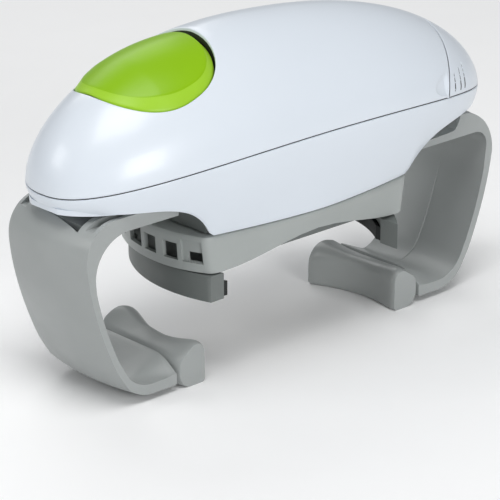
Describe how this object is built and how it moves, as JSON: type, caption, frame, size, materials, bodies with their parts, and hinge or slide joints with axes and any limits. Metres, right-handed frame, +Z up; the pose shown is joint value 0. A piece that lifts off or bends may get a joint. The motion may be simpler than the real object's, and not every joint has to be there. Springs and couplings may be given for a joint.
{
  "type": "electric jar opener",
  "caption": "Battery jar opener: egg-shaped housing with a big start button, sliding C-shaped arms that grip the jar and a turning gripper whose jaws close on the lid.",
  "frame": {"origin": "middle of the underside of the grip pads, on the ground and on the turning axis", "axes": "+X along the housing from the button to the battery cover, +Y across it away from the viewer, +Z up"},
  "size_m": [0.1962, 0.0704, 0.1183],
  "materials": {
    "white_shell": "gloss moulded ABS",
    "green_button": "gloss moulded ABS",
    "grey_arm": "satin moulded nylon",
    "grey_gripper": "satin moulded nylon",
    "dark_frame": "satin moulded nylon",
    "black_rubber": "soft rubber",
    "black_switch": "matte",
    "red_plunger": "matte",
    "steel": "plated steel",
    "motor_can": "zinc plated can",
    "brass": "turned brass",
    "nylon": "natural acetal",
    "grey_plate": "moulded",
    "copper_cell": "printed can"
  },
  "bodies": {
    "housing": {"upper_shell": "white_shell", "lower_shell": "white_shell", "button_spring": "steel", "button_guide": "dark_frame", "micro_switch": "black_switch", "battery_tray": "dark_frame", "battery_cells": "copper_cell", "battery_contacts": "steel", "chassis": "dark_frame", "spindle_bush": "nylon", "gearbox_lower_plate": "grey_plate", "gearbox_upper_plate": "grey_plate", "gearbox_screws": "steel", "case_screws": "steel", "motor": "motor_can", "gear_pins": "steel"},
    "cover": {"battery_cover": "white_shell", "cover_contact": "steel"},
    "button": {"start_button": "green_button"},
    "plunger": {"switch_plunger": "red_plunger"},
    "left_arm": {"arm_left": "grey_arm", "arm_rack_left": "nylon", "grip_pad_left": "grey_arm"},
    "right_arm": {"arm_right": "grey_arm", "arm_rack_right": "nylon", "grip_pad_right": "grey_arm"},
    "ring": {"ring_gear": "nylon", "arm_pinion": "brass"},
    "sun": {"sun_gear": "nylon"},
    "reduction": {"reduction_gear": "nylon"},
    "motor_shaft": {"motor_pinion": "brass"},
    "gripper": {"gripper_cover": "grey_gripper", "gripper_frame": "dark_frame", "gripper_clip": "steel"},
    "carrier": {"planet_carrier": "steel", "lid_pinion": "brass"},
    "planet_1": {"planet_gear_1": "nylon"},
    "planet_2": {"planet_gear_2": "nylon"},
    "planet_3": {"planet_gear_3": "nylon"},
    "left_jaw": {"lid_jaw_left": "dark_frame", "jaw_rack_left": "nylon", "jaw_lining_left": "black_rubber"},
    "right_jaw": {"lid_jaw_right": "dark_frame", "jaw_rack_right": "nylon", "jaw_lining_right": "black_rubber"}
  },
  "joints": [
    {"name": "arm_left_slide", "type": "slide", "parent": "housing", "child": "left_arm", "axis": [1, 0, 0], "range_m": [-0.002, 0.025]},
    {"name": "arm_right_slide", "type": "slide", "parent": "housing", "child": "right_arm", "axis": [1, 0, 0], "range_m": [-0.025, 0.002]},
    {"name": "ring_turn", "type": "hinge", "parent": "housing", "child": "ring", "pos_m": [0, 0, 0.074], "axis": [0, 0, 1], "range_deg": [-143.74, 11.96]},
    {"name": "jaw_left_slide", "type": "slide", "parent": "gripper", "child": "left_jaw", "axis": [1, 0, 0], "range_m": [-0.002, 0.025]},
    {"name": "jaw_right_slide", "type": "slide", "parent": "gripper", "child": "right_jaw", "axis": [1, 0, 0], "range_m": [-0.025, 0.002]},
    {"name": "carrier_turn", "type": "hinge", "parent": "gripper", "child": "carrier", "pos_m": [0, 0, 0.06], "axis": [0, 0, 1], "range_deg": [-19.6, 239.23]},
    {"name": "planet_1_turn", "type": "hinge", "parent": "carrier", "child": "planet_1", "pos_m": [0.012, 0, 0.077], "axis": [0, 0, 1], "range_deg": [-1146.42, 92.17]},
    {"name": "planet_2_turn", "type": "hinge", "parent": "carrier", "child": "planet_2", "pos_m": [-0.006, 0.01039, 0.077], "axis": [0, 0, 1], "range_deg": [-1146.42, 92.17]},
    {"name": "planet_3_turn", "type": "hinge", "parent": "carrier", "child": "planet_3", "pos_m": [-0.006, -0.01039, 0.077], "axis": [0, 0, 1], "range_deg": [-1146.42, 92.17]},
    {"name": "sun_turn", "type": "hinge", "parent": "housing", "child": "sun", "pos_m": [0, 0, 0.079], "axis": [0, 0, 1], "range_deg": [-111.27, 1385.15]},
    {"name": "reduction_turn", "type": "hinge", "parent": "housing", "child": "reduction", "pos_m": [-0.01102, 0.01572, 0.081], "axis": [0, 0, 1], "range_deg": [-4154.44, 332.82]},
    {"name": "motor_turn", "type": "hinge", "parent": "housing", "child": "motor_shaft", "pos_m": [-0.014, 0, 0.084], "axis": [0, 0, 1], "range_deg": [-997.45, 12462.33]},
    {"name": "gripper_turn", "type": "hinge", "parent": "housing", "child": "gripper", "pos_m": [0, 0, 0.05], "axis": [0, 0, 1], "continuous": true},
    {"name": "start_button_press", "type": "slide", "parent": "housing", "child": "button", "axis": [0, 0, -1], "range_m": [0, 0.0016], "stiffness_N_per_m": 900, "springref_m": -0.002, "deforming": ["button_spring"]},
    {"name": "switch_plunger_press", "type": "slide", "parent": "housing", "child": "plunger", "axis": [0, 0, -1], "range_m": [0, 0.0019]},
    {"name": "battery_cover_slide", "type": "slide", "parent": "housing", "child": "cover", "axis": [1, 0, 0], "range_m": [0, 0.06]}
  ],
  "couplings": [
    {"joint": "arm_right_slide", "follows": "arm_left_slide", "ratio": -1},
    {"joint": "ring_turn", "follows": "arm_left_slide", "rad_per_m": -100},
    {"joint": "jaw_left_slide", "follows": "arm_left_slide", "ratio": 1},
    {"joint": "jaw_right_slide", "follows": "arm_left_slide", "ratio": -1},
    {"joint": "carrier_turn", "follows": "arm_left_slide", "rad_per_m": 166.67},
    {"joint": "planet_1_turn", "follows": "arm_left_slide", "rad_per_m": -800},
    {"joint": "planet_2_turn", "follows": "arm_left_slide", "rad_per_m": -800},
    {"joint": "planet_3_turn", "follows": "arm_left_slide", "rad_per_m": -800},
    {"joint": "sun_turn", "follows": "arm_left_slide", "rad_per_m": 966.67},
    {"joint": "reduction_turn", "follows": "arm_left_slide", "rad_per_m": -2900},
    {"joint": "motor_turn", "follows": "arm_left_slide", "rad_per_m": 8700},
    {"joint": "switch_plunger_press", "follows": "start_button_press", "ratio": 1}
  ]
}
